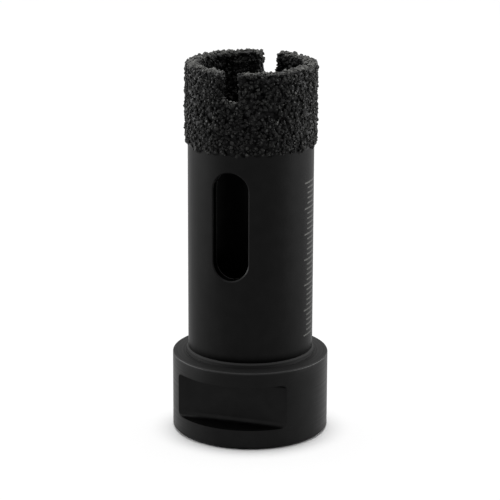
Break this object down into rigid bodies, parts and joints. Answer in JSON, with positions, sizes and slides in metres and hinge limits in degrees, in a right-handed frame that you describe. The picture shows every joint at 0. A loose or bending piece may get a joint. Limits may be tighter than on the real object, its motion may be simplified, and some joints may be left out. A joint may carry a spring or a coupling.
{
  "type": "diamond core bit",
  "caption": "Dry diamond core bit: threaded steel hub with spanner flats, slotted tubular barrel and notched grit rim, for an angle grinder.",
  "frame": {"origin": "on the axis, in the hub's underside, which seats against the spindle's shoulder", "axes": "+Z along the axis from the hub to the cutting rim; the windows, rim notches and spanner flats face -Y and +Y"},
  "size_m": [0.03, 0.03, 0.072],
  "materials": {
    "hub_steel": "satin black",
    "barrel_steel": "satin black",
    "diamond_grit": "coarse brazed grit, dark"
  },
  "bodies": {
    "root": {"hub": "hub_steel", "barrel": "barrel_steel", "diamond_crown": "diamond_grit"}
  },
  "joints": []
}
